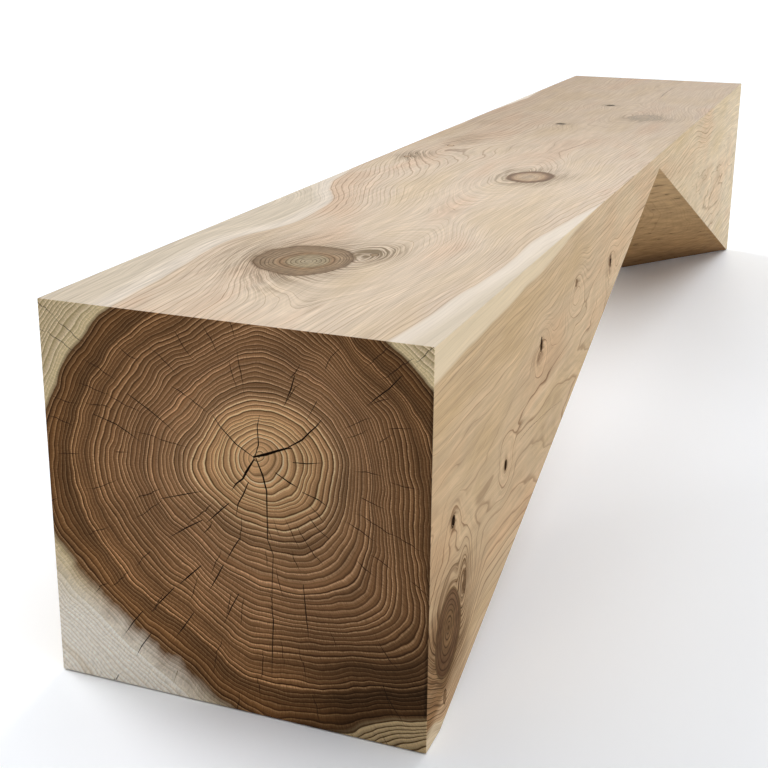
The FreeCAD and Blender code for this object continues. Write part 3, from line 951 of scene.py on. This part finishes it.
def glide_seat(x, y):
    """A round seat under a foot, with the screw's pilot hole drilled on from its bottom."""
    bpy.ops.object.select_all(action="DESELECT")
    low = STAND - PROUD
    seat_top = STAND + SEAT_DEPTH
    bpy.ops.mesh.primitive_cylinder_add(
        vertices=48, radius=SEAT_RADIUS, depth=seat_top - low,
        location=(x, y, (low + seat_top) / 2))
    drill = bpy.context.object
    bpy.ops.object.transform_apply(location=True, rotation=True, scale=True)
    select_faces(drill, lambda face: face.normal.z > 0.99)
    bpy.ops.object.mode_set(mode="EDIT")
    bpy.ops.mesh.inset(thickness=SEAT_RADIUS - CORE_RADIUS)
    bpy.ops.mesh.extrude_region_move(TRANSFORM_OT_translate={"value": (0, 0, CORE_TOP - seat_top)})
    bpy.ops.object.mode_set(mode="OBJECT")
    return drill


def cut_away(block, cutter):
    """Cut a tool shape out of the block and throw the tool away."""
    apply_modifier(block, "BOOLEAN", object=cutter, operation="DIFFERENCE", solver="EXACT")
    bpy.data.objects.remove(cutter, do_unlink=True)


def finish_block(block):
    """Give each face its finish, by the sawn plane that it lies in. What lies deeper is
    torn fibre in a check, or the drilled wood of a glide's seat."""
    planes = [
        (Vector((0, 0, TOP)), Vector((0, 0, 1)), LONG_GRAIN),
        (Vector((0, -WIDTH / 2, 0)), Vector((0, -1, 0)), LONG_GRAIN),
        (Vector((0, WIDTH / 2, 0)), Vector((0, 1, 0)), LONG_GRAIN),
        (Vector((-LENGTH / 2, 0, 0)), Vector((-1, 0, 0)), END_GRAIN),
        (Vector((LENGTH / 2, 0, 0)), Vector((1, 0, 0)), END_GRAIN),
        (Vector((0, 0, STAND)), Vector((0, 0, -1)), SAWN),
    ] + [(crown, outward, SAWN) for crown, outward in inner_faces]
    bpy.ops.object.select_all(action="DESELECT")
    block.select_set(True)
    bpy.context.view_layer.objects.active = block
    bpy.ops.object.shade_smooth_by_angle(angle=math.radians(25))
    apply_modifier(block, "WEIGHTED_NORMAL", keep_sharp=True)
    block.data.materials.clear()
    for material in (sanded_cedar(), brushed_end_grain(), sawn_cedar(), torn_fibre()):
        block.data.materials.append(material)
    for face in block.data.polygons:
        found = []
        for point, outward, finish in planes:
            off_plane = abs((face.center - point).dot(outward))
            facing = face.normal.dot(outward)
            if off_plane < 1.2 * ARRIS and facing > 0.3:
                found.append((facing, finish))
        if found:
            face.material_index = max(found)[1]
        else:
            face.material_index = SAWN if face.center.z < CORE_TOP + MM else TORN


# The planes of the skewed cuts, noted while they are sawn.
inner_faces = []
block = saw_block()
for name, path, gap in HEART_CHECKS:
    cut_away(block, heart_check(-LENGTH / 2, name, path, gap))
    if gap > FAR_GAP:
        cut_away(block, heart_check(LENGTH / 2, name, path, gap))
for name, inward, path, gap in SURFACE_CRACKS:
    places = [Vector(place) * MM for place in path]
    cut_away(block, open_crack(name, places, inward, gap * MM, CRACK_DEPTH))
for name, place, half_size in KNOT_HOLES:
    cut_away(block, knot_hole(name, place, half_size))
for x, y in GLIDES:
    cut_away(block, glide_seat(x, y))
finish_block(block)
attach(block, "root")
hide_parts("timber_block")

nylon, felt, zinc = moulded_nylon(), pressed_felt(), zinc_plate()
for name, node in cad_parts.items():
    if name == "timber_block":
        continue
    material = felt if "felt" in name else zinc if "screw" in name else nylon
    for slot in node.material_slots:
        slot.material = material
    if not node.material_slots:
        node.data.materials.append(material)

# The floor is white paper, a little brighter to the eye than to the light it throws back.
bpy.ops.object.select_all(action="DESELECT")
bpy.ops.mesh.primitive_plane_add(size=80, location=(0, 0, 0))
floor = bpy.context.object
floor.name = "studio_floor"
paper = new_material("white studio floor")
tree = paper.node_tree
path_kind = add(tree, "ShaderNodeLightPath").outputs
tone = blend(tree, path_kind["Is Camera Ray"], (0.80, 0.82, 0.85, 1), (1.015, 1.045, 1.09, 1))
matt = add(tree, "ShaderNodeBsdfDiffuse", {0: tone})
add(tree, "ShaderNodeOutputMaterial", {0: matt})
floor.data.materials.append(paper)

# Soft suns: the compass angle from +X towards +Y, the height and the half angle of the
# disc, all in degrees, and the strength.
LAMPS = [
    ("window_behind", 0, 16, 13, 2.31),
    ("window_behind_left", 25, 16, 13, 0.31),
    ("window_behind_right", 334, 16, 13, 0.37),
    ("tall_box_left", 72, 38, 16, 1.60),
    ("low_box_left", 77, 16, 13, 0.58),
    ("card_right", 282, 16, 13, 0.51),
    ("card_front_right", 257, 16, 13, 0.46),
    ("card_by_camera", 194, 16, 13, 0.28),
    ("overhead_front", 239, 60, 20, 0.78),
    ("overhead_right", 300, 60, 20, 0.34),
    ("overhead_left", 59, 60, 20, 0.22),
    ("overhead_back", 119, 60, 20, 0.24),
]
for name, compass, up, half_angle, strength in LAMPS:
    lamp = bpy.data.lights.new(name, "SUN")
    lamp.energy = strength
    lamp.angle = math.radians(2 * half_angle)
    holder = bpy.data.objects.new(name, lamp)
    bpy.context.scene.collection.objects.link(holder)
    a, e = math.radians(compass), math.radians(up)
    towards = Vector((math.cos(a) * math.cos(e), math.sin(a) * math.cos(e), math.sin(e)))
    holder.rotation_euler = towards.to_track_quat("Z", "Y").to_euler()

# The world is white where it is seen, by the eye or in a gloss, and throws no light.
world = bpy.data.worlds.new("studio")
bpy.context.scene.world = world
world.use_nodes = True
tree = world.node_tree
tree.nodes.clear()
path_kind = add(tree, "ShaderNodeLightPath").outputs
seen = maths(tree, "MAXIMUM", path_kind["Is Camera Ray"], path_kind["Is Glossy Ray"])
seen = maths(tree, "MAXIMUM", seen, path_kind["Is Transmission Ray"])
sky = add(tree, "ShaderNodeBackground", {0: (1, 1, 1, 1), 1: seen})
add(tree, "ShaderNodeOutputWorld", {0: sky})

# The camera that fits the photo: its lens, where it stands and which way it looks.
camera = bpy.data.cameras.new("photo_camera")
camera.sensor_width = 36
camera.lens = 61.44
camera.shift_y = -0.0610
camera.clip_end = 200
viewer = bpy.data.objects.new("photo_camera", camera)
bpy.context.scene.collection.objects.link(viewer)
forward = Vector((0.892241, 0.341202, -0.295784)).normalized()
right = Vector((0.359819, -0.932977, 0.009169))
right = (right - forward * right.dot(forward)).normalized()
up = right.cross(forward)
stand = Vector((-2.27838, -0.57768, 0.79221))
viewer.matrix_world = Matrix.Translation(stand) @ Matrix(
    (right, up, -forward)).transposed().to_4x4()
bpy.context.scene.camera = viewer
bpy.context.scene.view_settings.view_transform = "Standard"
